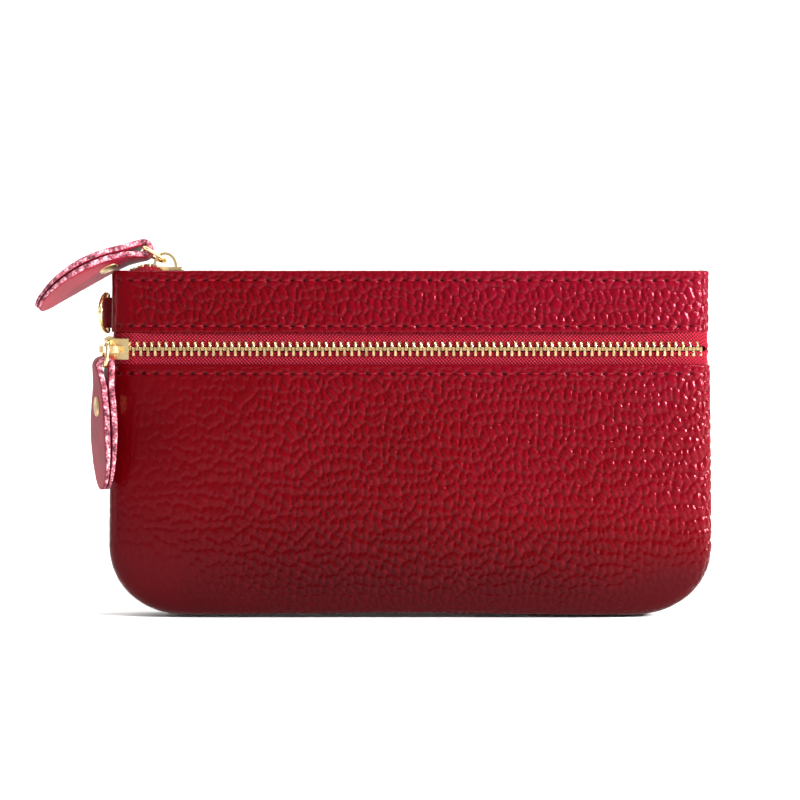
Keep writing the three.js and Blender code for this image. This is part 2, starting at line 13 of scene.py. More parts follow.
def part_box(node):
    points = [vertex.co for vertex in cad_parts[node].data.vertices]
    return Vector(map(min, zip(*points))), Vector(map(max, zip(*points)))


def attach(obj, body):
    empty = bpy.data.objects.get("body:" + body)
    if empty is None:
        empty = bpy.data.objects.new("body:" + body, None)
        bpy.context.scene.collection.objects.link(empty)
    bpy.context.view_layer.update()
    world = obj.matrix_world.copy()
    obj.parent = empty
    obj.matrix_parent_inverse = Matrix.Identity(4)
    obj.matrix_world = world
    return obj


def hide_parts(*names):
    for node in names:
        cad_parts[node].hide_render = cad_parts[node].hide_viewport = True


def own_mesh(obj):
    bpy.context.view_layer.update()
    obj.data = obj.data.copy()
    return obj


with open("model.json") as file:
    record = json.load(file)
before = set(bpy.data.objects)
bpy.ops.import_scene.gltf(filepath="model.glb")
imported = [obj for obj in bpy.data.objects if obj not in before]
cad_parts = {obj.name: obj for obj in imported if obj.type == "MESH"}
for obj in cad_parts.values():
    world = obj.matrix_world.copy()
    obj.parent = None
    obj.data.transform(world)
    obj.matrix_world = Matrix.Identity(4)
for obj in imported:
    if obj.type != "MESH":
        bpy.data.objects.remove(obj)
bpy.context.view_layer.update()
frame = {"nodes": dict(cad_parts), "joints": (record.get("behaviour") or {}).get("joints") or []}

MM = 0.001

# ---- driving dimensions, worked out from the frame ----


def box_mm(node):
    """Lowest and highest corner of a CAD node, in millimetres."""
    return np.array(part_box(node)) / MM


BACK_HIGH = box_mm("back_panel")[1]
POCKET_HIGH = box_mm("front_lower_panel")[1]
HEIGHT = BACK_HIGH[2]
HALF_WIDTH = POCKET_HIGH[0]
MOUTH_HALF_WIDTH = HALF_WIDTH - 1.3
BELLY = BACK_HIGH[1]
BASE_HALF_DEPTH = 7.5
MOUTH_HALF_DEPTH = 7.5
CORNER_RADIUS = 23
SECTION_POWER = 6  # 2 would be an ellipse; 6 is nearly a box with soft corners
SECTION_SAMPLES = 6001
LEATHER = 1.3
SEAM_Y = 1.5
BASE_ARCH = 1.0  # how far the bottom rises in the middle
BAND_BOTTOM = box_mm("front_upper_band")[0, 2]
POCKET_TOP = POCKET_HIGH[2]
FRONT_ZIP_Y = np.mean(box_mm("front_zip_teeth_upper")[:, 1])
FRONT_ZIP_Z = (BAND_BOTTOM + POCKET_TOP) / 2
TOP_ZIP_Z = np.mean(box_mm("top_zip_teeth_front")[:, 2])
TOP_TAPE_FOOT = box_mm("top_zip_tape_front")[0, 2]
GRAIN_STEP = 0.45  # mesh spacing on the leather
BACK_STEP = 0.6

STITCH_PITCH = 3.9
STITCH_LENGTH = 2.6
THREAD = 0.27  # radius
THREAD_SINK = 0.3  # how far a stitch lies in the leather, and how far its ends dip
STITCH_BAND_TOP = HEIGHT - 3.1
STITCH_BAND_BOTTOM = BAND_BOTTOM + 2.4
STITCH_POCKET = POCKET_TOP - 2.9
STITCH_BACK_TOP = HEIGHT - 3.1

TOOTH_PITCH = 2.28


# ---- mesh helpers ----


def mesh_piece(name, points_mm, faces, body, smooth=True):
    """A mesh object from points in millimetres, riding on a body."""
    mesh = bpy.data.meshes.new(name)
    mesh.from_pydata((np.asarray(points_mm) * MM).tolist(), [], [list(map(int, f)) for f in faces])
    mesh.validate()
    mesh.update()
    piece = bpy.data.objects.new(name, mesh)
    bpy.context.scene.collection.objects.link(piece)
    if smooth:
        mesh.polygons.foreach_set("use_smooth", [True] * len(mesh.polygons))
    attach(piece, body)
    return piece


def finish_piece(piece, material, slot, *nodes):
    """Gives a piece its material, and hides the CAD nodes that it stands for."""
    piece.data.materials.append(material)
    if nodes:
        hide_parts(*nodes)
    return piece


def grid_faces(rows, columns, wrap_rows=False, wrap_columns=False):
    """Quads of a grid whose vertices run row by row."""
    up = rows if wrap_rows else rows - 1
    across = columns if wrap_columns else columns - 1
    r, c = np.meshgrid(np.arange(up), np.arange(across), indexing="ij")
    r2, c2 = (r + 1) % rows, (c + 1) % columns
    corners = [r * columns + c, r * columns + c2, r2 * columns + c2, r2 * columns + c]
    return np.stack([k.ravel() for k in corners], axis=1)


def joined(parts):
    """Points and faces of several (points, faces) pairs as one."""
    points, faces, count = [], [], 0
    for some_points, some_faces in parts:
        points.append(np.asarray(some_points, float))
        faces.extend([[i + count for i in face] for face in some_faces])
        count += len(some_points)
    return np.concatenate(points), faces


def smoothstep(low, high, value):
    share = np.clip((value - low) / (high - low), 0, 1)
    return share * share * (3 - 2 * share)


# ---- noise for the leather ----


def hash_pair(i, j, salt):
    """Two repeatable numbers from 0 to 1 for each cell (i, j)."""
    seed = (i * 374761393 + j * 668265263 + salt * 974711) & 0xFFFFFFFF
    seed = ((seed ^ (seed >> 13)) * 1274126177) & 0xFFFFFFFF
    first = ((seed ^ (seed >> 16)) & 0xFFFF) / 65535.0
    seed = (seed * 1103515245 + 12345) & 0xFFFFFFFF
    second = ((seed ^ (seed >> 15)) & 0xFFFF) / 65535.0
    return first, second


def value_noise(u, v, salt):
    """Smooth noise from 0 to 1."""
    i, j = np.floor(u).astype(np.int64), np.floor(v).astype(np.int64)
    a, b = u - i, v - j
    a, b = a * a * (3 - 2 * a), b * b * (3 - 2 * b)

    def corner(di, dj):
        return hash_pair(i + di, j + dj, salt)[0]

    low = corner(0, 0) * (1 - a) + corner(1, 0) * a
    high = corner(0, 1) * (1 - a) + corner(1, 1) * a
    return low * (1 - b) + high * b


PEBBLE_LEAN = 0.22  # how far the pebbles lean to the left as they rise
PEBBLE_WARP = 0.5  # how far the noise pushes a pebble out of its column, in pebbles
PEBBLE_SCATTER = (0.6, 0.8)  # how far a pebble's middle strays in its cell, in pebbles
CREASE = 0.4  # width of the slope down to a crease, in pebbles
DOME = 0.85  # radius of a pebble's dome, in pebbles


def pebbles(u, v, wide, tall, salt):
    """Height from 0 (crease) to 1 (middle of a pebble) of a cell pattern over u and v in mm."""
    x = (u + PEBBLE_LEAN * v) / wide + PEBBLE_WARP * (value_noise(u / 3.1, v / 3.7, salt + 5) - 0.5)
    y = v / tall + PEBBLE_WARP * (value_noise(u / 3.5, v / 4.1, salt + 9) - 0.5)
    i, j = np.floor(x).astype(np.int64), np.floor(y).astype(np.int64)
    nearest = np.full(x.shape, 9.0)
    second = np.full(x.shape, 9.0)
    for di in (-2, -1, 0, 1):
        for dj in (-1, 0, 1):
            a, b = hash_pair(i + di, j + dj, salt)
            stagger = 0.5 * ((j + dj) % 2)
            middle_x = i + di + stagger - 0.15 + PEBBLE_SCATTER[0] * a
            middle_y = j + dj + 0.1 + PEBBLE_SCATTER[1] * b
            distance = np.hypot(x - middle_x, y - middle_y)
            second = np.minimum(second, np.maximum(nearest, distance))
            nearest = np.minimum(nearest, distance)
    edge = second - nearest
    dome = 1 - np.clip(nearest / DOME, 0, 1) ** 2
    return 0.5 * smoothstep(0.0, CREASE, edge) + 0.5 * dome * smoothstep(0.0, 0.15, edge)


# ---- the pouch's outer form ----


def half_depth(z):
    """Half of the pouch's thickness at a height."""
    drop = CORNER_RADIUS - np.minimum(z, CORNER_RADIUS)
    low = np.sqrt(np.clip(1 - (drop / CORNER_RADIUS) ** 2, 0, 1))
    bottom = BASE_HALF_DEPTH + (BELLY - BASE_HALF_DEPTH) * low
    share = np.clip((z - CORNER_RADIUS) / (HEIGHT - CORNER_RADIUS), 0, 1)
    top = MOUTH_HALF_DEPTH + (BELLY - MOUTH_HALF_DEPTH) * np.cos(share * math.pi / 2)
    return np.where(z < CORNER_RADIUS, bottom, top)


def half_width(z):
    """Half of the pouch's width at a height."""
    drop = np.clip(CORNER_RADIUS - z, 0, CORNER_RADIUS)
    corner = HALF_WIDTH - CORNER_RADIUS + np.sqrt(CORNER_RADIUS**2 - drop**2)
    share = np.clip((z - CORNER_RADIUS) / (HEIGHT - CORNER_RADIUS), 0, 1)
    return np.where(z < CORNER_RADIUS, corner, HALF_WIDTH + (MOUTH_HALF_WIDTH - HALF_WIDTH) * share)


def section_point(turn, z, inset):
    """A point of the level section, by angle: 0 is +x and 270 degrees is the front."""
    c, s = np.cos(turn), np.sin(turn)
    power = 2 / SECTION_POWER
    x = np.sign(c) * np.abs(c) ** power * (half_width(z) - inset)
    y = np.sign(s) * np.abs(s) ** power * (half_depth(z) - inset)
    return x, y


def depth_at(x, z, inset):
    """How far the section inset from the outside lies from the middle plane at x."""
    share = np.clip(np.abs(x) / (half_width(z) - inset), 0, 1)
    return (half_depth(z) - inset) * (1 - share**SECTION_POWER) ** (1 / SECTION_POWER)


def even_turns(start, end, z, step):
    """Angles from start to end that are evenly spaced along the section at height z."""
    share = np.linspace(-1, 1, SECTION_SAMPLES)
    flat = np.sign(share) * np.abs(share) ** (SECTION_POWER / 2)
    along = np.arccos(flat) + start  # even in x, dense where the long side is flat
    ends = np.arcsin(np.abs(flat))
    fine = np.unique(np.concatenate([along, start + ends, end - ends]))
    fine = fine[(fine >= start) & (fine <= end)]
    x, y = section_point(fine, np.full(fine.shape, z), 0)
    run = np.concatenate([[0], np.cumsum(np.hypot(np.diff(x), np.diff(y)))])
    count = int(run[-1] / step) // 2 * 2 + 1
    return np.interp(np.linspace(0, run[-1], count), run, fine)


# ---- leather panels ----

EDGE_ROLL = 1.0  # radius of a turned edge
SEAM_ROLL = 0.9
GRAIN_DEPTH = 0.62
FINE_GRAIN_DEPTH = 0.04
PEBBLE_WIDTH = 2.3
PEBBLE_HEIGHT = 3.6
STITCH_SIDE_MARGIN = 3.5
HOLE_HALF_LENGTH = 0.75
HOLE_HALF_HEIGHT = 0.33
HOLE_DEPTH = 0.9
GROOVE_HALF_HEIGHT = 0.6
GROOVE_DEPTH = 0.12
ARCH_HEIGHT = 9  # the bottom's rise fades out over this height
INNER_ROWS = 9
INNER_GAP = 0.2  # keeps the inside clear of the deepest creases


def panel_rows(low, high, step, on_base):
    """Heights, insets and base shares of a panel's rows, from its lower edge to its top fold."""
    arc = np.linspace(0, 1, 6) * math.pi / 2
    rolled_z, rolled_inset = EDGE_ROLL * (1 - np.sin(arc)), EDGE_ROLL * (1 - np.cos(arc))
    top = high - EDGE_ROLL
    if on_base:
        under = np.linspace(0, 1, int(BASE_HALF_DEPTH / step), endpoint=False)
        bend = 1 - np.cos(np.linspace(0, 1, int(CORNER_RADIUS * 1.5 / step)) * math.pi / 2)
        above = np.arange(CORNER_RADIUS + step, top, step)
        z = np.concatenate([np.full(len(under), low), low + CORNER_RADIUS * bend, above])
        share = np.concatenate([under, np.ones(len(z) - len(under))])
        inset = np.zeros(len(z))
    else:
        above = np.arange(low + EDGE_ROLL + step, top, step)
        z = np.concatenate([low + rolled_z[::-1], above])
        inset = np.concatenate([rolled_inset[::-1], np.zeros(len(above))])
        share = np.ones(len(z))
    z = np.concatenate([z, high - rolled_z])
    inset = np.concatenate([inset, rolled_inset])
    return z, inset, np.concatenate([share, np.ones(len(rolled_z))])


def panel_grid(side, z, inset, share, across):
    """Points of a panel: side is -1 for the front leather and 1 for the back."""
    end = np.arcsin(np.clip(SEAM_Y / (half_depth(z) - inset), 0, 0.99) ** (SECTION_POWER / 2))
    if side < 0:
        turn = (math.pi - end)[:, None] + across[None, :] * (math.pi + 2 * end)[:, None]
    else:
        turn = end[:, None] + across[None, :] * (math.pi - 2 * end)[:, None]
    level = z[:, None] + 0 * turn
    x, y = section_point(turn, level, inset[:, None])
    return np.stack([x, SEAM_Y + (y - SEAM_Y) * share[:, None], level], axis=2)


def outward(points, side):
    """Unit normals of a grid, away from the inside of the pouch."""
    normal = np.cross(np.gradient(points, axis=1), np.gradient(points, axis=0))
    normal /= np.maximum(np.linalg.norm(normal, axis=2, keepdims=True), 1e-9)
    middle = normal[normal.shape[0] // 2, normal.shape[1] // 2]
    return normal if middle[1] * side > 0 else -normal


def run_along(points, axis):
    """Distance along the grid lines of one axis, from their middle."""
    step = np.linalg.norm(np.diff(points, axis=axis), axis=2)
    run = np.insert(np.cumsum(step, axis=axis), 0, 0, axis=axis)
    return run - np.take(run, [run.shape[axis] // 2], axis=axis)


def stitch_dent(x, z, row_z):
    """Depth that a row of stitches presses in: a groove, with a hole where the thread goes down."""
    groove = GROOVE_DEPTH * np.exp(-(((z - row_z) / GROOVE_HALF_HEIGHT) ** 2))
    to_hole = np.abs((x / STITCH_PITCH) % 1 - 0.5) * STITCH_PITCH
    hole = np.exp(-((to_hole / HOLE_HALF_LENGTH) ** 4) - ((z - row_z) / HOLE_HALF_HEIGHT) ** 2)
    return groove + HOLE_DEPTH * hole, hole


def pressed_depth(points, share, high, salt, stitch_rows, fade, sag):
    """How deep each point of a panel is pressed in, and its shares of crease and of stitch hole."""
    x, y, height = points[..., 0], points[..., 1], points[..., 2]
    u, v = run_along(points, 1), run_along(points, 0)
    creased = (1 - pebbles(u, v, PEBBLE_WIDTH, PEBBLE_HEIGHT, salt)) * fade(x, height)
    dent = GRAIN_DEPTH * creased + FINE_GRAIN_DEPTH * value_noise(u / 0.9, v / 0.9, salt + 3)
    inboard = smoothstep(1, 4, half_width(height) - np.abs(x))  # the stitches stop before the sides
    holes = 0 * x
    for row_z in stitch_rows:
        dent *= 1 - 0.6 * inboard * np.exp(-((height - row_z) ** 2))
        pressed, hole = stitch_dent(x, height, row_z)
        dent += inboard * pressed
        holes += inboard * hole
    roll = np.clip(1 - np.abs(y - SEAM_Y) / SEAM_ROLL, 0, 1) * (share[:, None] == 1)
    dent += SEAM_ROLL * (1 - np.sqrt(1 - roll**2)) * 0.8
    dent *= 0.3 + 0.7 * smoothstep(0, EDGE_ROLL, high - height)
    dent += sag(x, height) * smoothstep(0, 6 * EDGE_ROLL, high - height)
    return dent, creased, holes


def inside_grid(side, low, high, on_base, across):
    """The plain inside of a panel, from its top fold down."""
    lowest = low + LEATHER + BASE_ARCH if on_base else low + EDGE_ROLL
    z = np.linspace(high - EDGE_ROLL, lowest, INNER_ROWS)
    inset = np.full(INNER_ROWS, LEATHER + INNER_GAP)
    return panel_grid(side, z, inset, np.ones(INNER_ROWS), across)


def leather_panel(name, side, low, high, step, salt, on_base, stitch_rows, fade, sag):
    """A panel as a closed shell: grained outside, turned edges and a plain inside.

    side is -1 for the front and 1 for the back. fade(x, z) is the grain's strength from 0 to 1,
    and sag(x, z) is how far the leather hangs inwards.
    """
    z, inset, share = panel_rows(low, high, step, on_base)
    start, end = (math.pi, 2 * math.pi) if side < 0 else (0, math.pi)
    across = (even_turns(start, end, (low + high) / 2, step) - start) / math.pi
    points = panel_grid(side, z, inset, share, across)
    dent, creased, holes = pressed_depth(points, share, high, salt, stitch_rows, fade, sag)
    outer = points - outward(points, side) * dent[..., None]
    if on_base:
        arch = BASE_ARCH * np.clip(1 - (points[..., 0] / HALF_WIDTH) ** 2, 0, 1)
        outer[..., 2] += arch * np.exp(-points[..., 2] / ARCH_HEIGHT)
    inner = inside_grid(side, low, high, on_base, across)
    shell = np.concatenate([outer, inner])
    rows, columns = shell.shape[:2]
    faces = grid_faces(rows, columns, wrap_rows=True).tolist()
    faces.append(list(range(0, rows * columns, columns)))
    faces.append(list(range(columns - 1, rows * columns, columns)))
    piece = mesh_piece(name, shell.reshape(-1, 3), faces, "pouch")
    face_outwards(piece)
    inside = np.zeros(inner.shape[:2])
    add_attribute(piece, "crease", np.concatenate([creased, inside]))
    add_attribute(piece, "hole", np.concatenate([holes, inside]))
    return piece


def add_attribute(piece, name, values):
    """A number for each vertex, which the material reads."""
    attribute = piece.data.attributes.new(name, "FLOAT", "POINT")
    attribute.data.foreach_set("value", np.asarray(values).ravel().astype(np.float32))


def face_outwards(piece):
    """Turns every face of a closed piece outwards."""
    made = bmesh.new()
    made.from_mesh(piece.data)
    bmesh.ops.recalc_face_normals(made, faces=made.faces)
    made.to_mesh(piece.data)
    made.free()


def band_fade(x, z):
    """The grain is pressed nearly flat at the left end and along both edges."""
    left = smoothstep(-MOUTH_HALF_WIDTH + 4, -MOUTH_HALF_WIDTH + 12, x)
    edges = smoothstep(0, 2.5, HEIGHT - z) * smoothstep(0, 2, z - BAND_BOTTOM)
    return (0.12 + 0.88 * left) * (0.35 + 0.65 * edges)


def lower_fade(x, z):
    """The grain is faint at the left, at the bottom, round the lower right corner and at the fold."""
    left = smoothstep(-HALF_WIDTH + 6, -HALF_WIDTH + 75, x + 6 * value_noise(x / 9, z / 9, 41))
    bottom = smoothstep(1, 14, z)
    corner = 1 - 0.75 * np.exp(-(((x - 82) / 16) ** 2) - ((z - 10) / 14) ** 2)
    fold = smoothstep(0, 3, POCKET_TOP - z)
    return (0.12 + 0.88 * left) * (0.35 + 0.65 * bottom) * corner * (0.35 + 0.65 * fold)


def back_fade(x, z):
    """The grain is even, and fainter at the bottom."""
    return 0.45 + 0.55 * smoothstep(2, 16, z)


def band_sag(x, z):
    """A slight waviness."""
    return 0.35 * value_noise(x / 34 + 7, z / 30, 61)


def lower_sag(x, z):
    """Soft hollows and swells, away from the fold and the side seams."""
    hollow = 1.1 * value_noise(x / 46 + 3, z / 34 + 1, 17) * smoothstep(0, 20, POCKET_TOP - z)
    return hollow * smoothstep(0, 14, HALF_WIDTH - np.abs(x))


def back_sag(x, z):
    """Soft hollows and swells, away from the side seams."""
    return 1.0 * value_noise(x / 50 + 11, z / 36 + 4, 29) * smoothstep(0, 14, HALF_WIDTH - np.abs(x))


# ---- stitching ----


def capsule(centre, half_length, radius, bow):
    """A short thread along x, its ends dipping by bow."""
    sides, steps = 6, 7
    points = []
    for i in range(steps):
        share = -1 + 2 * i / (steps - 1)
        wide = radius * math.sqrt(max(0.02, 1 - (abs(share) ** 4)))
        for k in range(sides):
            turn = 2 * math.pi * k / sides
            x = centre[0] + share * half_length
            y = centre[1] + bow * share * share + wide * math.cos(turn)
            points.append((x, y, centre[2] + wide * math.sin(turn)))
    faces = grid_faces(steps, sides, wrap_columns=True).tolist()
    faces.append(list(range(sides))[::-1])
    faces.append(list(range((steps - 1) * sides, steps * sides)))
    return points, faces


def stitch_row(name, side, row_z, material):
    """One row of lock stitches along x, lying in the groove of the leather."""
    parts = []
    reach = float(half_width(np.array(row_z))) - STITCH_SIDE_MARGIN
    count = math.floor(reach / STITCH_PITCH)
    for i in range(1 - count, count + 1):
        x = i * STITCH_PITCH
        y = side * (float(depth_at(x, np.array(row_z), 0)) - THREAD_SINK)
        parts.append(capsule((x, y, row_z), STITCH_LENGTH / 2, THREAD, -side * THREAD_SINK))
    points, faces = joined(parts)
    piece = mesh_piece(name, points, faces, "pouch")
    return finish_piece(piece, material, "pebbled_leather")


# ---- materials ----


class Nodes:
    """Short calls to build a material's node tree round its Principled shader."""

    def __init__(self, name):
        self.material = bpy.data.materials.new(name)
        self.material.use_nodes = True
        self.tree = self.material.node_tree
        self.shader = self.tree.nodes["Principled BSDF"]

    def add(self, kind, **inputs):
        node = self.tree.nodes.new(kind)
        for key, value in inputs.items():
            self.put(node, key.replace("_", " "), value)
        return node

    def put(self, node, key, value):
        if isinstance(value, bpy.types.NodeSocket):
            self.tree.links.new(value, node.inputs[key])
        else:
            node.inputs[key].default_value = value

    def place(self):
        """Coordinates in metres, fixed to the piece."""
        return self.add("ShaderNodeTexCoord").outputs["Object"]

    def stretched(self, vector, scale):
        node = self.add("ShaderNodeMapping", Vector=vector)
        node.inputs["Scale"].default_value = scale
        return node.outputs["Vector"]

    def noise(self, vector, scale, detail=3.0):
        return self.add("ShaderNodeTexNoise", Vector=vector, Scale=scale, Detail=detail).outputs["Fac"]

    def ramp(self, value, stops):
        node = self.add("ShaderNodeValToRGB", Fac=value)
        band = node.color_ramp
        for spot, colour in stops[1:-1]:
            band.elements.new(spot)
        for element, (spot, colour) in zip(band.elements, stops):
            element.position = spot
            element.color = colour
        return node.outputs["Color"]

    def share(self, value, low, high, to_low=0.0, to_high=1.0):
        """value stretched from the range low..high to the range to_low..to_high, and clamped."""
        ends = {"From_Min": low, "From_Max": high, "To_Min": to_low, "To_Max": to_high}
        return self.add("ShaderNodeMapRange", Value=value, **ends).outputs["Result"]

    def mix(self, share, first, second):
        node = self.tree.nodes.new("ShaderNodeMix")
        node.data_type = "RGBA"
        self.put(node, 0, share)
        self.put(node, 6, first)
        self.put(node, 7, second)
        return node.outputs[2]

    def math(self, kind, first, second=0.0):
        node = self.tree.nodes.new("ShaderNodeMath")
        node.operation = kind
        self.put(node, 0, first)
        self.put(node, 1, second)
        return node.outputs[0]

    def bump(self, height, depth, strength=1.0):
        node = self.add("ShaderNodeBump", Height=height, Strength=strength, Distance=depth)
        return node.outputs["Normal"]

    def surface(self, **inputs):
        for key, value in inputs.items():
            self.put(self.shader, key.replace("_", " "), value)
        return self.material


# Painted light and shade: the next four reds are one leather red, from shaded to lit. The edge leather
# also uses the middle two as its own tones.
SHADED_RED = (0.035, 0.0001, 0.0003, 1)
DEEP_RED = (0.056, 0.0001, 0.0006, 1)
CRIMSON = (0.1, 0.0002, 0.002, 1)
LIT_ROSE = (0.126, 0.001, 0.008, 1)
# Painted shade: the stitch holes are painted near black.
HOLE_SHADE = (0.008, 0.0005, 0.0008, 1)
LOW_SHINE = 0.24  # specular level that keeps the red deep between its highlights
CLOTH_SHINE = 0.12
WEAVE_PITCH = 0.0011  # metres between the tape's threads
LEATHER_SHINE = {"Specular_IOR_Level": LOW_SHINE, "Specular_Tint": (1, 0.3, 0.38, 1)}


def attribute_value(n, name):
    node = n.add("ShaderNodeAttribute")
    node.attribute_name = name
    return node.outputs["Fac"]


def leather_material():
    """Pebbled leather red with painted light and shade: deep red where shaded at the lower left and
    the lower right corner, rosier where lit towards the upper right.
    """
    n = Nodes("pebbled_leather")
    place = n.place()
    parts = n.add("ShaderNodeSeparateXYZ", Vector=place)
    # lit runs from 0 (shaded) to 1 (lit), from the lower left to the upper right
    to_right = n.share(parts.outputs["X"], -0.09, 0.085)
    to_top = n.share(parts.outputs["Z"], 0.0, 0.11)
    patchy = n.noise(place, 24, 2)
    lit = n.math("ADD", n.math("MULTIPLY", to_right, 0.4), n.math("MULTIPLY", to_top, 0.4))
    # Painted shade deepens the lower right corner.
    corner = n.math("MULTIPLY", to_right, n.share(parts.outputs["Z"], 0.0, 0.035, 1, 0))
    lit = n.math("SUBTRACT", n.math("ADD", lit, 0.1), n.math("MULTIPLY", corner, 0.9))
    lit = n.math("ADD", lit, n.math("MULTIPLY", n.math("SUBTRACT", patchy, 0.5), 0.5))
    colour = n.ramp(lit, [(0, SHADED_RED), (0.15, DEEP_RED), (0.5, CRIMSON), (0.95, LIT_ROSE)])
    # Painted shade: the creases between the pebbles are darkened towards the deep red.
    colour = n.mix(n.math("MULTIPLY", attribute_value(n, "crease"), 0.4), colour, DEEP_RED)
    # Painted shade: the stitch holes are darkened nearly to black.
    colour = n.mix(attribute_value(n, "hole"), colour, HOLE_SHADE)
    fine = n.noise(place, 1500, 4)
    normal = n.bump(fine, 0.00012, 0.3)
    roughness = n.share(fine, 0.3, 0.7, 0.16, 0.25)
    return n.surface(Base_Color=colour, Roughness=roughness, Normal=normal, **LEATHER_SHINE)


def plain_leather_material():
    n = Nodes("edge_leather")
    place = n.place()
    fine = n.noise(place, 900, 4)
    colour = n.ramp(fine, [(0.3, DEEP_RED), (0.75, CRIMSON)])
    normal = n.bump(fine, 0.0002, 0.4)
    return n.surface(Base_Color=colour, Roughness=0.45, Normal=normal, **LEATHER_SHINE)


def thread_material():
    n = Nodes("red_thread")
    twist = n.add("ShaderNodeTexWave", Vector=n.place(), Scale=900.0, Distortion=1.0)
    twist = twist.outputs["Fac"]
    colour = n.ramp(twist, [(0, (0.12, 0.0008, 0.004, 1)), (1, (0.26, 0.003, 0.014, 1))])
    normal = n.bump(twist, 0.0001, 0.5)
    return n.surface(Base_Color=colour, Roughness=0.6, Specular_IOR_Level=CLOTH_SHINE, Normal=normal)


def tape_material():
    n = Nodes("red_zip_tape")
    place = n.place()
    parts = n.add("ShaderNodeSeparateXYZ", Vector=place)
    wave = 2 * math.pi / WEAVE_PITCH
    across = n.math("SINE", n.math("MULTIPLY", parts.outputs["X"], wave))
    run = n.math("ADD", parts.outputs["Z"], parts.outputs["Y"])
    up = n.math("SINE", n.math("MULTIPLY", run, wave))
    weave = n.share(n.math("MULTIPLY", across, up), -1, 1)
    # The threads are painted light and the gaps between them dark. This is partly the weave's own
    # pattern and partly painted highlight and shade.
    colour = n.mix(weave, (0.05, 0.0005, 0.003, 1), (0.36, 0.003, 0.022, 1))
    normal = n.bump(weave, 0.0004, 0.9)
    return n.surface(Base_Color=colour, Roughness=0.5, Specular_IOR_Level=CLOTH_SHINE, Normal=normal)


def lining_material():
    n = Nodes("dark_lining")
    weave = n.noise(n.stretched(n.place(), (1, 1, 0.4)), 1200, 3)
    colour = n.ramp(weave, [(0.3, (0.03, 0.001, 0.003, 1)), (0.8, (0.1, 0.003, 0.008, 1))])
    return n.surface(Base_Color=colour, Roughness=0.85, Normal=n.bump(weave, 0.0002, 0.5))


def metal_material(name, bright, dull, low, high):
    n = Nodes(name)
    worn = n.noise(n.place(), 380, 4)
    colour = n.mix(n.share(worn, 0.35, 0.7), bright, dull)
    roughness = n.share(worn, 0.3, 0.7, low, high)
    normal = n.bump(n.noise(n.place(), 2600, 2), 0.00003, 0.25)
    return n.surface(Base_Color=colour, Metallic=1.0, Roughness=roughness, Normal=normal)


def tab_material():
    n = Nodes("smooth_maroon")
    place = n.place()
    fine = n.noise(place, 700, 5)
    broad = n.noise(place, 90, 3)
    colour = n.ramp(broad, [(0.3, (0.17, 0.007, 0.016, 1)), (0.7, (0.29, 0.010, 0.030, 1))])
    normal = n.bump(fine, 0.00018, 0.4)
    return n.surface(Base_Color=colour, Roughness=0.4, Normal=normal, Specular_IOR_Level=0.07)


def fibrous_material():
    n = Nodes("fibrous_edge")
    place = n.place()
    hair = n.noise(place, 1500, 6)
    clumps = n.noise(place, 500, 4)
    both = n.math("MULTIPLY", hair, clumps)
    pale, rosy, dark = (0.8, 0.42, 0.47, 1), (0.34, 0.07, 0.11, 1), (0.05, 0.005, 0.01, 1)
    colour = n.ramp(both, [(0.16, dark), (0.26, rosy), (0.38, pale)])
    return n.surface(Base_Color=colour, Roughness=0.9, Normal=n.bump(both, 0.0005, 0.9))


GOLD, PALE_GOLD = (0.83, 0.58, 0.25, 1), (0.95, 0.76, 0.42, 1)
BRASS, DARK_BRASS = (0.72, 0.52, 0.27, 1), (0.36, 0.24, 0.12, 1)

LEATHER_LOOK = leather_material()
EDGE_LOOK = plain_leather_material()
THREAD_LOOK = thread_material()
TAPE_LOOK = tape_material()
LINING_LOOK = lining_material()
TAB_LOOK = tab_material()
TAB_EDGE_LOOK = fibrous_material()
GOLD_LOOK = metal_material("polished_gold", PALE_GOLD, GOLD, 0.14, 0.26)
DULL_BRASS_LOOK = metal_material("dull_brass", BRASS, DARK_BRASS, 0.35, 0.5)
TEETH_LOOK = metal_material("antique_brass", BRASS, DARK_BRASS, 0.25, 0.4)


# ---- zips ----

TAPE_HALF = 0.3  # half thickness
TAPE_EDGE = 0.25
CORD = 0.62  # half thickness of the corded edge that the teeth grip
TAPE_NEAR = [0.75, 1.05, 1.6]  # the edge, the cord and its foot, across from the middle of the zip
FRONT_TAPE_REACH = 8.6
TAPE_END_INSET = 1.1
TAPE_END_TUCK = 0.5  # the tape is trimmed to just behind the leather's edges at its ends
TAPE_TRIM = (HALF_WIDTH - 16, HALF_WIDTH - 12)
TAPE_CLOSE = (HALF_WIDTH - 3.1, HALF_WIDTH - 2.3)  # where the tapes come together past the last tooth
TAPE_CLOSED = 0.02
TOP_TAPE_FLAT, TOP_TAPE_OUT = 4.3, 5.3  # where the tape starts to bend down, and where it hangs
TOP_HUMP_X, TOP_HUMP = -82.5, 2.3
TOP_HUMP_REACH = 5
TOP_TEETH = (-88.0, 90.5)
FRONT_TEETH = (-92.5, 91.5)
TOOTH_OUTLINE = [  # (across, along) pairs of one flank, from the foot to the head
    (2.33, 0.34),
    (2.2, 0.5),
    (0.95, 0.5),
    (0.65, 0.42),
    (0.35, 0.56),
    (-0.45, 0.56),
    (-0.62, 0.34),
]
TOOTH_MIDDLE = 0.9
TOOTH_LAYERS = [(-1.0, 0.75, 0.92), (-0.8, 1, 1), (0.8, 1, 1), (1.0, 0.75, 0.92)]  # out, then scales
HEAD_SWELL = 1.12  # the head is thicker than the foot


def front_zip_y(x, z):
    """Level of the front zip: flat, and bending back into the side seams."""
    return -np.minimum(-FRONT_ZIP_Y, depth_at(x, z, LEATHER + TAPE_HALF))


def top_zip_z(x):
    """Level of the top zip, pushed up beside the slider's closed end."""
    return TOP_ZIP_Z + TOP_HUMP * np.exp(-(((x - TOP_HUMP_X) / TOP_HUMP_REACH) ** 2))


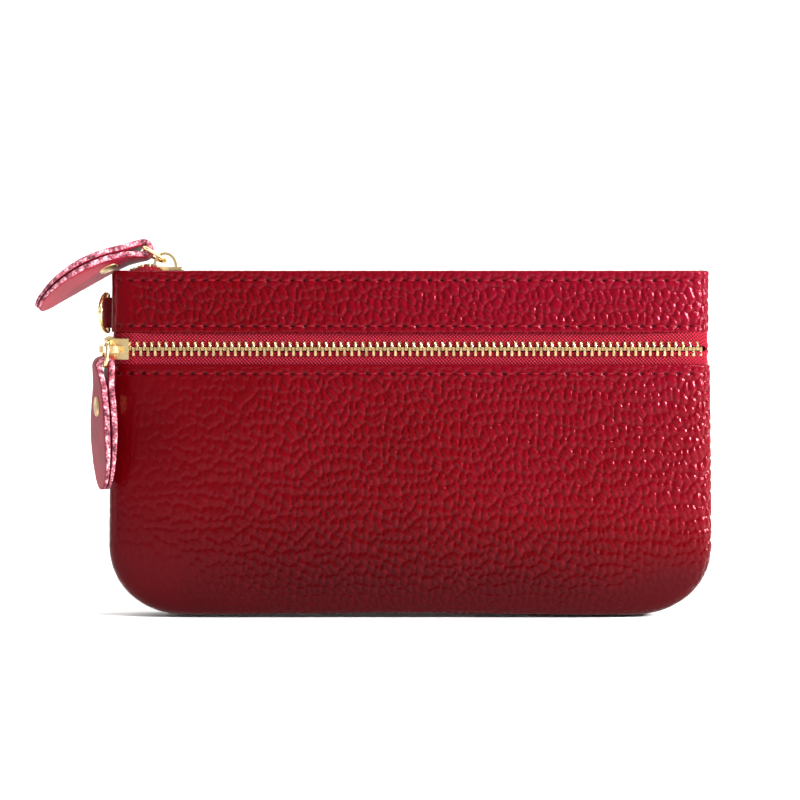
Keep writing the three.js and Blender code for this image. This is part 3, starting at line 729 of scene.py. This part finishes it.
def swept(rings):
    """Closed mesh data from rings of equal length, capped at both ends."""
    rings = np.asarray(rings)
    rows, columns = rings.shape[:2]
    faces = grid_faces(rows, columns, wrap_columns=True).tolist()
    faces.append(list(range(columns))[::-1])
    faces.append(list(range((rows - 1) * columns, rows * columns)))
    return rings.reshape(-1, 3), faces


def tape_profile(spots):
    """Half thickness of a tape at each spot across it: the edge, the cord, its foot and the flat."""
    half = np.full(len(spots), TAPE_HALF)
    half[:3] = TAPE_EDGE, CORD, TAPE_HALF + 0.18
    return half


def front_tape(name, node, side):
    """One tape of the front zip, running back round both ends to the side seams."""
    spots = np.concatenate([TAPE_NEAR, np.linspace(2.2, FRONT_TAPE_REACH, 8)])
    half = tape_profile(spots)
    across = (even_turns(math.pi, 2 * math.pi, FRONT_ZIP_Z, 1.0) - math.pi) / math.pi
    level, inset = np.array([FRONT_ZIP_Z]), np.array([TAPE_END_INSET])
    line = panel_grid(-1, level, inset, np.ones(1), across)[0, :, :2]
    line[:, 1] = np.maximum(line[:, 1], FRONT_ZIP_Y)
    heading = np.gradient(line, axis=0)
    heading /= np.linalg.norm(heading, axis=1, keepdims=True)
    window = BAND_BOTTOM - FRONT_ZIP_Z if side > 0 else FRONT_ZIP_Z - POCKET_TOP
    rings = []
    for spot, (run_x, run_y) in zip(line, heading):
        trimmed = float(smoothstep(*TAPE_TRIM, abs(spot[0])))
        reach = FRONT_TAPE_REACH + (window + TAPE_END_TUCK - FRONT_TAPE_REACH) * trimmed
        closed = float(smoothstep(*TAPE_CLOSE, spot[0]))
        nearest = spots[0] * (1 - closed) + TAPE_CLOSED * closed
        away = np.interp(spots, [spots[0], spots[2], FRONT_TAPE_REACH], [nearest, spots[2], reach])
        z = (FRONT_ZIP_Z + side * away)[:, None]
        out = half[:, None] * np.array([run_y, -run_x])
        outer = np.hstack([spot + out, z])
        inner = np.hstack([spot - out, z])[::-1]
        rings.append(np.concatenate([outer, inner]))
    piece = mesh_piece(name, *swept(rings), "pouch")
    face_outwards(piece)
    return finish_piece(piece, TAPE_LOOK, "zip_tape", node)


def top_tape(name, node, side):
    """One tape of the top zip: flat beside the teeth, then bent down inside the mouth's leather."""
    flat = np.concatenate([TAPE_NEAR, np.linspace(2.2, TOP_TAPE_FLAT, 4)])
    turn = np.linspace(0.2, 1, 5) * math.pi / 2
    radius = TOP_TAPE_OUT - TOP_TAPE_FLAT
    across = np.concatenate([flat, TOP_TAPE_FLAT + radius * np.sin(turn), np.full(5, TOP_TAPE_OUT)])
    fall = np.linspace(radius, TOP_ZIP_Z - TOP_TAPE_FOOT, 6)[1:]
    down = np.concatenate([0 * flat, radius * (1 - np.cos(turn)), fall])
    half = tape_profile(across)
    heading = np.stack([np.gradient(across), -np.gradient(down)], axis=1)
    heading /= np.linalg.norm(heading, axis=1, keepdims=True)
    rings = []
    end = MOUTH_HALF_WIDTH - LEATHER - 0.5
    for x in np.linspace(-end, end, 200):
        z = top_zip_z(x) - down
        narrow = min(1, (float(depth_at(x, HEIGHT, LEATHER + TAPE_HALF)) + 0.01) / TOP_TAPE_OUT)
        y = side * across * narrow
        lift_y, lift_z = side * heading[:, 1] * half, heading[:, 0] * half
        outer = np.stack([x + 0 * z, y + lift_y, z + lift_z], axis=1)
        inner = np.stack([x + 0 * z, y - lift_y, z - lift_z], axis=1)[::-1]
        rings.append(np.concatenate([outer, inner]))
    piece = mesh_piece(name, *swept(rings), "pouch")
    face_outwards(piece)
    return finish_piece(piece, TAPE_LOOK, "zip_tape", node)


def tooth(place):
    """One tooth. place(across, along, out) gives its points in the pouch."""
    outline = TOOTH_OUTLINE + [(across, -along) for across, along in TOOTH_OUTLINE[::-1]]
    rings = []
    for out, thinner, shorter in TOOTH_LAYERS:
        ring = []
        for across, along in outline:
            swell = 1 if across > TOOTH_MIDDLE else HEAD_SWELL
            reach = TOOTH_MIDDLE + (across - TOOTH_MIDDLE) * shorter
            ring.append(place(reach, along * thinner, out * swell))
        rings.append(ring)
    return swept(rings)


def teeth_row(name, node, side, ends, tooth_at):
    """One row of teeth. Those of the two sides are half a pitch apart."""
    start = ends[0] + (TOOTH_PITCH / 2 if side < 0 else 0)
    parts = [tooth_at(x, side) for x in np.arange(start, ends[1], TOOTH_PITCH)]
    piece = mesh_piece(name, *joined(parts), "pouch", smooth=False)
    face_outwards(piece)
    return finish_piece(piece, TEETH_LOOK, "zip_teeth", node)


def front_tooth(x, side):
    level = float(front_zip_y(x, FRONT_ZIP_Z))
    return tooth(lambda across, along, out: (x + along, level - out, FRONT_ZIP_Z + side * across))


def top_tooth(x, side):
    level = float(top_zip_z(x))
    return tooth(lambda across, along, out: (x + along, side * across, level + out))


# ---- folded leather tabs ----

TAB_LENGTH = 38.5
TAB_LAYER_ROOT, TAB_LAYER_TIP = 2.1, 1.1
TAB_SLIT = 0.3
TAB_SIDES = 32
EDGE_COLUMNS = 3  # how far round the section the frayed edge reaches
RIVET_PLACE = 12.6
RIVET_DOME = [(0.01, 0), (3.0, 0), (3.1, 0.15), (3.0, 0.35), (2.4, 0.55), (1.2, 0.65), (0.01, 0.68)]
RIVET_SINK = 0.15
TAB_FOLD = 1.0  # inner radius round the wire
TAB_OPENING = 6  # the layers come together over this distance from the wire
TAB_NECK, TAB_HALF_WIDTH, TAB_WIDEST = 2.6, 9.2, 0.6
FRAY_OUT, FRAY_THICK = 0.7, 0.3


def tab_half_width(s):
    """Half width of the leaf at a distance from the wire."""
    share = np.clip(s / TAB_LENGTH, 0, 1)
    swell = np.sin(np.clip(share / TAB_WIDEST, 0, 1) * math.pi / 2)
    grow = TAB_NECK + (TAB_HALF_WIDTH - TAB_NECK) * swell
    tip = np.clip((share - TAB_WIDEST) / (1 - TAB_WIDEST), 0, 1)
    return np.maximum(grow * (1 - tip**2.3) ** 0.5, 0.35)


def tab_spot(s, bend):
    """x, z and turn of the tab's middle line, which starts at the wire and runs along -x."""
    middles = (np.arange(40) + 0.5) / 40
    turn = bend * (0.5 - s * middles / TAB_LENGTH)
    return -s * np.mean(np.cos(turn)), s * np.mean(np.sin(turn)), bend * (0.5 - s / TAB_LENGTH)


def tab_layer(s):
    """Thickness of a layer at its frayed edge, which thins towards the tip."""
    thinned = float(smoothstep(0.45, 1, s / TAB_LENGTH))
    return TAB_LAYER_ROOT + (TAB_LAYER_TIP - TAB_LAYER_ROOT) * thinned


def tab_path():
    """Stations (distance, up, forward) of one strip: down from one tip, round the wire and back."""
    tip = 1 - 0.12 * (1 - np.linspace(0, 1, 14)[1:]) ** 2  # closer together towards the round tip
    reach = np.concatenate([np.linspace(0, 0.88, 70), tip])
    top = [(s, 1, 0) for s in (reach * TAB_LENGTH)[::-1]]
    fold = [(0, math.cos(turn), math.sin(turn)) for turn in np.linspace(0, math.pi, 14)[1:-1]]
    bottom = [(s, -1, 0) for s in reach * TAB_LENGTH]
    return top + fold + bottom


def frayed_section(s, up, half, layer):
    """(across, deep) offsets round the section of a layer, rough at its two edges."""
    section = []
    for k in range(TAB_SIDES):
        around = 2 * math.pi * k / TAB_SIDES
        c, d = math.cos(around), math.sin(around)
        fray = float(value_noise(np.array(s * 2.4 + up * 50), np.array(k * 1.9 + 3), 77)) - 0.5
        across = math.copysign(abs(c) ** 0.2, c) * half + FRAY_OUT * fray * c**5
        deep = math.copysign(abs(d) ** 0.4, d) * (layer / 2 + FRAY_THICK * fray * c**4)
        section.append((across, deep))
    return section


def folded_tab(name, node, body, place, bend):
    """A strip of leather folded over the link's wire, with frayed edges and smooth faces."""
    rings = []
    for s, up, forward in tab_path():
        x, z, turn = tab_spot(s, bend)
        layer = tab_layer(s)
        apart = (layer + TAB_SLIT) / 2
        fold = TAB_FOLD + layer / 2
        apart += (fold - apart) * max(0, 1 - s / TAB_OPENING)
        along = Vector((math.cos(turn), 0, -math.sin(turn)))
        normal = Vector((math.sin(turn), 0, math.cos(turn)))
        out = normal * up + along * forward
        middle = Vector((x, 0, z)) + out * (fold if s == 0 else apart)
        ring = []
        for across, deep in frayed_section(s, up, float(tab_half_width(np.array(s))), layer):
            ring.append(tuple(place @ (middle + Vector((0, across, 0)) + out * deep)))
        rings.append(ring)
    points, faces = swept(rings)
    piece = mesh_piece(name, points, faces, body)
    face_outwards(piece)
    finish_piece(piece, TAB_LOOK, "tab_leather", node)
    piece.data.materials.append(TAB_EDGE_LOOK)
    half_turn = TAB_SIDES // 2
    for face in piece.data.polygons:
        columns = [vertex % TAB_SIDES % half_turn for vertex in face.vertices]
        frayed = all(min(column, half_turn - column) <= EDGE_COLUMNS for column in columns)
        face.material_index = 1 if frayed else 0
    return piece


def lathe(profile, place, sides=28):
    """A turned part: profile is (radius, height) pairs from the axis and back to it."""
    turns = [2 * math.pi * k / sides for k in range(sides)]
    rings = []
    for radius, height in profile:
        ring = [Vector((radius * math.cos(turn), radius * math.sin(turn), height)) for turn in turns]
        rings.append([tuple(place @ point) for point in ring])
    return swept(rings)


def tab_rivet(name, nodes, body, place, bend):
    """The two low domed heads of the rivet, through both layers of the tab."""
    x, z, turn = tab_spot(RIVET_PLACE, bend)
    here = place @ Matrix.Translation((x, 0, z)) @ Matrix.Rotation(turn, 4, "Y")
    face = TAB_SLIT / 2 + tab_layer(RIVET_PLACE) - RIVET_SINK
    heads = []
    for up in (1, -1):
        heads.append(lathe([(radius, up * (face + height)) for radius, height in RIVET_DOME], here))
    piece = mesh_piece(name, *joined(heads), body)
    face_outwards(piece)
    return finish_piece(piece, DULL_BRASS_LOOK, "gold_hardware", *nodes)


# ---- metal parts and linings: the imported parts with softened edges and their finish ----

WELD = 0.00002


def dress(node, look, bevel_mm=0.0, rounded=0):
    """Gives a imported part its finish, softens its edges or rounds its wire."""
    piece = frame["nodes"][node]
    piece.data.materials.clear()
    piece.data.materials.append(look)
    weld = piece.modifiers.new("weld", "WELD")
    weld.merge_threshold = WELD
    if bevel_mm:
        bevel = piece.modifiers.new("bevel", "BEVEL")
        bevel.width = bevel_mm * MM
        bevel.segments = 3
        bevel.limit_method = "ANGLE"
        bevel.angle_limit = math.radians(35)
    if rounded:
        smooth = piece.modifiers.new("round", "SUBSURF")
        smooth.levels = rounded
        smooth.render_levels = rounded


def dress_packed_parts():
    for node in ("top_slider", "front_slider"):
        dress(node, GOLD_LOOK, bevel_mm=0.18)
    for node in ("top_pull_link", "front_pull_link", "d_ring"):
        dress(node, GOLD_LOOK, rounded=2)
    for node in ("top_zip_stop_front", "top_zip_stop_back", "top_zip_end_stop"):
        dress(node, GOLD_LOOK, bevel_mm=0.2)
    dress("d_ring_loop", EDGE_LOOK, bevel_mm=0.25)
    for node in ("main_lining_back", "main_lining_front", "pocket_lining_front", "pocket_lining_back"):
        dress(node, LINING_LOOK)


# ---- the pieces ----


def make_leather():
    back = leather_panel(
        "leather_back",
        side=1,
        low=0,
        high=HEIGHT,
        step=BACK_STEP,
        salt=3,
        on_base=True,
        stitch_rows=(STITCH_BACK_TOP,),
        fade=back_fade,
        sag=back_sag,
    )
    finish_piece(back, LEATHER_LOOK, "pebbled_leather", "back_panel")
    band = leather_panel(
        "leather_band",
        side=-1,
        low=BAND_BOTTOM,
        high=HEIGHT,
        step=GRAIN_STEP,
        salt=5,
        on_base=False,
        stitch_rows=(STITCH_BAND_TOP, STITCH_BAND_BOTTOM),
        fade=band_fade,
        sag=band_sag,
    )
    finish_piece(band, LEATHER_LOOK, "pebbled_leather", "front_upper_band")
    lower = leather_panel(
        "leather_front",
        side=-1,
        low=0,
        high=POCKET_TOP,
        step=GRAIN_STEP,
        salt=8,
        on_base=True,
        stitch_rows=(STITCH_POCKET,),
        fade=lower_fade,
        sag=lower_sag,
    )
    finish_piece(lower, LEATHER_LOOK, "pebbled_leather", "front_lower_panel")
    stitch_row("stitches_band_top", -1, STITCH_BAND_TOP, THREAD_LOOK)
    stitch_row("stitches_band_bottom", -1, STITCH_BAND_BOTTOM, THREAD_LOOK)
    stitch_row("stitches_pocket", -1, STITCH_POCKET, THREAD_LOOK)
    stitch_row("stitches_back", 1, STITCH_BACK_TOP, THREAD_LOOK)


def make_zips():
    front_tape("tape_front_upper", "front_zip_tape_upper", 1)
    front_tape("tape_front_lower", "front_zip_tape_lower", -1)
    top_tape("tape_top_front", "top_zip_tape_front", -1)
    top_tape("tape_top_back", "top_zip_tape_back", 1)
    teeth_row("teeth_front_upper", "front_zip_teeth_upper", 1, FRONT_TEETH, front_tooth)
    teeth_row("teeth_front_lower", "front_zip_teeth_lower", -1, FRONT_TEETH, front_tooth)
    teeth_row("teeth_top_front", "top_zip_teeth_front", -1, TOP_TEETH, top_tooth)
    teeth_row("teeth_top_back", "top_zip_teeth_back", 1, TOP_TEETH, top_tooth)


TOP_PULL_ROLL = math.radians(-16)
TOP_TAB_DROOP = math.radians(-30)
TOP_TAB_BEND = math.radians(34)
FRONT_PULL_YAW = math.radians(22)


def joint_place(name):
    """Where a joint's axis lies, in millimetres."""
    found = [joint for joint in frame["joints"] if joint["name"] == name][0]
    return Vector(found["pos_m"]) / MM


def make_tabs():
    hinge = joint_place("top_tab_swing")
    roll = Matrix.Rotation(TOP_PULL_ROLL, 4, "X") @ Matrix.Rotation(TOP_TAB_DROOP, 4, "Y")
    place = Matrix.Translation(hinge) @ roll
    tab = folded_tab("tab_top", "top_pull_tab", "top_tab", place, TOP_TAB_BEND)
    rivet = tab_rivet("rivet_top", ("top_rivet_cap", "top_rivet_post"), "top_tab", place, TOP_TAB_BEND)
    for piece in (tab, rivet):
        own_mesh(piece)
    hinge = joint_place("front_tab_swing")
    across = Vector((-math.sin(FRONT_PULL_YAW), math.cos(FRONT_PULL_YAW), 0))
    up = Vector((0, 0, 1))
    hanging = Matrix((up, across, up.cross(across))).transposed().to_4x4()
    place = Matrix.Translation(hinge) @ hanging
    tab = folded_tab("tab_front", "front_pull_tab", "front_tab", place, 0)
    rivet = tab_rivet("rivet_front", ("front_rivet_cap", "front_rivet_post"), "front_tab", place, 0)
    for piece in (tab, rivet):
        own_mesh(piece)


make_leather()
make_zips()
make_tabs()
dress_packed_parts()


# ---- stage, light and camera ----

VIEW_MIDDLE = Vector((-0.0033, 0, 0.0684))
VIEW_WIDTH = 0.2533
VIEW_DISTANCE = 0.75
VIEW_UP = math.radians(3)
SENSOR = 36
WORLD_LIGHT = 0.48


def make_stage():
    """A pale floor that sweeps up into a wall behind."""
    half, wall_y, wall_top, bend = 2.0, 1.1, 2.6, 0.5
    steps = 12
    side = [(-half, 0)]
    for i in range(steps + 1):
        turn = i / steps * math.pi / 2
        side.append((wall_y - bend + bend * math.sin(turn), bend * (1 - math.cos(turn))))
    side.append((wall_y, wall_top))
    corners = [(x, y, z) for y, z in side for x in (-half, half)]
    faces = [(2 * i, 2 * i + 1, 2 * i + 3, 2 * i + 2) for i in range(len(side) - 1)]
    mesh = bpy.data.meshes.new("floor")
    mesh.from_pydata(corners, [], faces)
    mesh.polygons.foreach_set("use_smooth", [True] * len(faces))
    floor = bpy.data.objects.new("floor", mesh)
    bpy.context.scene.collection.objects.link(floor)
    n = Nodes("pale_floor")
    mesh.materials.append(n.surface(Base_Color=(0.9, 0.9, 0.9, 1), Roughness=0.9))
    world = bpy.data.worlds.new("studio")
    world.use_nodes = True
    background = world.node_tree.nodes["Background"]
    background.inputs["Color"].default_value = (1, 1, 1, 1)
    background.inputs["Strength"].default_value = WORLD_LIGHT
    bpy.context.scene.world = world
    bpy.context.scene.view_settings.view_transform = "Standard"


def area_light(name, place, target, wide, tall, watts, colour):
    """A rectangular soft light at a place, aimed at a target."""
    data = bpy.data.lights.new(name, "AREA")
    data.shape = "RECTANGLE"
    data.size = wide
    data.size_y = tall
    data.energy = watts
    data.color = colour
    lamp = bpy.data.objects.new(name, data)
    lamp.location = place
    lamp.rotation_euler = (Vector(target) - Vector(place)).to_track_quat("-Z", "Y").to_euler()
    bpy.context.scene.collection.objects.link(lamp)


def make_lights():
    area_light("key", (0.5, -0.5, 0.8), (0.0, 0, 0.06), 0.12, 0.12, 6.5, (1, 0.98, 0.96))
    area_light("right_rim", (0.7, -0.32, 0.3), (0.09, 0, 0.06), 0.04, 0.16, 16.0, (1, 1, 1))
    area_light("left_fill", (-0.8, -0.35, 0.2), (-0.09, 0, 0.05), 0.2, 0.5, 1.2, (1, 0.95, 0.92))
    area_light("backdrop", (0, 0.35, 1.6), (0, 1.1, 0.1), 2.0, 0.4, 22.0, (1, 1, 1))


def make_camera():
    data = bpy.data.cameras.new("camera")
    data.sensor_width = SENSOR
    data.lens = SENSOR * VIEW_DISTANCE / VIEW_WIDTH
    camera = bpy.data.objects.new("camera", data)
    camera.location = VIEW_MIDDLE + VIEW_DISTANCE * Vector((0, -math.cos(VIEW_UP), math.sin(VIEW_UP)))
    camera.rotation_euler = (VIEW_MIDDLE - camera.location).to_track_quat("-Z", "Y").to_euler()
    bpy.context.scene.collection.objects.link(camera)
    bpy.context.scene.camera = camera


make_stage()
make_lights()
make_camera()
